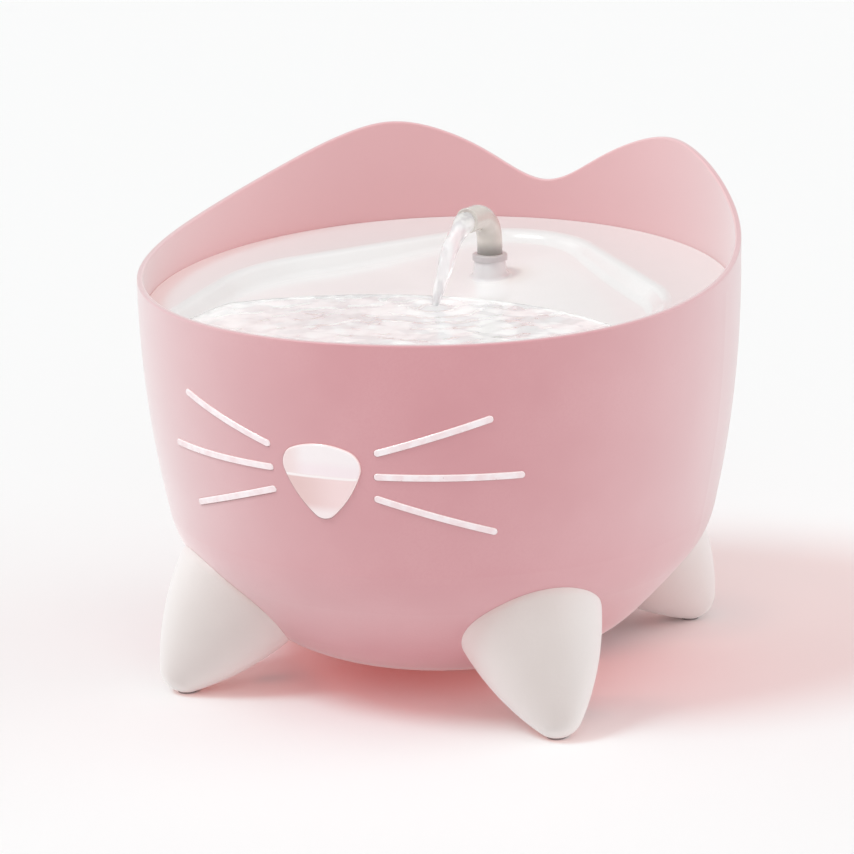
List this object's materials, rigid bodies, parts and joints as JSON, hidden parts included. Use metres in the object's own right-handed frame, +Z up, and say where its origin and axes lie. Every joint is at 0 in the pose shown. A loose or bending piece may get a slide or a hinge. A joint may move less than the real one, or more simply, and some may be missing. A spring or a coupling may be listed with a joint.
{
  "type": "pet water fountain",
  "caption": "Round pet drinking fountain with ear-shaped rim, lift-out tray, swivel spout, splayed feet and a filtered pump inside.",
  "frame": {"origin": "on the floor under the bowl's axis", "axes": "+Z up, -Y towards the nose window at the front, +X to the right seen from the front"},
  "size_m": [0.266, 0.266, 0.2213],
  "materials": {
    "bowl_plastic": "satin moulded, pale pink",
    "tray_plastic": "smooth white moulding",
    "leg_plastic": "satin warm white",
    "clear_plastic": "clear polished plastic with a faint pink tint",
    "spout_plastic": "smoky translucent tube",
    "hose_silicone": "translucent silicone",
    "seal_rubber": "matt moulded rubber",
    "screw_steel": "plain stainless",
    "housing_plastic": "light grey moulding",
    "pump_plastic": "black pump moulding",
    "dial_plastic": "dark grey moulding",
    "rotor_plastic": "moulded impeller over a magnet",
    "shaft_steel": "ground stainless shaft",
    "filter_foam": "carbon-loaded foam",
    "sponge_foam": "open-cell sponge"
  },
  "bodies": {
    "shell": {"bowl": "bowl_plastic", "nose_window": "clear_plastic", "nose_gasket": "seal_rubber", "cable_grommet": "seal_rubber", "foot_pads": "seal_rubber", "leg_screws": "screw_steel", "whisker_left_top": "clear_plastic", "whisker_left_middle": "clear_plastic", "whisker_left_bottom": "clear_plastic", "whisker_right_top": "clear_plastic", "whisker_right_middle": "clear_plastic", "whisker_right_bottom": "clear_plastic", "leg_front_left": "leg_plastic", "leg_front_right": "leg_plastic", "leg_rear_left": "leg_plastic", "leg_rear_right": "leg_plastic"},
    "tray": {"tray": "tray_plastic", "spout_collar": "tray_plastic", "riser_hose": "hose_silicone"},
    "spout": {"spout": "spout_plastic", "spout_o_ring": "seal_rubber"},
    "pump_unit": {"filter_housing": "housing_plastic", "suction_cups": "hose_silicone", "pump_body": "pump_plastic", "pump_cover": "pump_plastic", "impeller_shaft": "shaft_steel", "shaft_bushes": "seal_rubber", "prefilter_sponge": "sponge_foam"},
    "filter_lid": {"filter_lid": "housing_plastic"},
    "cartridge": {"cartridge_cage": "tray_plastic", "filter_media": "filter_foam"},
    "flow_dial": {"flow_dial": "dial_plastic"},
    "impeller": {"impeller": "rotor_plastic"}
  },
  "joints": [
    {"name": "tray_lift", "type": "slide", "parent": "shell", "child": "tray", "axis": [0, 0, 1], "range_m": [0, 0.28]},
    {"name": "spout_swivel", "type": "hinge", "parent": "tray", "child": "spout", "pos_m": [0, 0.0605, 0.171], "axis": [0, 0, 1], "range_deg": [-80, 80]},
    {"name": "pump_unit_lift", "type": "slide", "parent": "shell", "child": "pump_unit", "axis": [0, 0, 1], "range_m": [0, 0.2212]},
    {"name": "lid_lift", "type": "slide", "parent": "pump_unit", "child": "filter_lid", "axis": [0, 0, 1], "range_m": [0, 0.0196]},
    {"name": "cartridge_lift", "type": "slide", "parent": "filter_lid", "child": "cartridge", "axis": [0, 0, 1], "range_m": [0, 0.0196]},
    {"name": "flow_dial_turn", "type": "hinge", "parent": "pump_unit", "child": "flow_dial", "pos_m": [-0.007, 0.005, 0.038], "axis": [0, 1, 0], "range_deg": [0, 22.5]},
    {"name": "impeller_spin", "type": "hinge", "parent": "pump_unit", "child": "impeller", "pos_m": [-0.007, 0.02, 0.038], "axis": [0, 1, 0], "continuous": true}
  ],
  "couplings": [
    {"joint": "pump_unit_lift", "follows": "tray_lift", "ratio": 0.79},
    {"joint": "lid_lift", "follows": "tray_lift", "ratio": 0.07},
    {"joint": "cartridge_lift", "follows": "tray_lift", "ratio": 0.07}
  ]
}
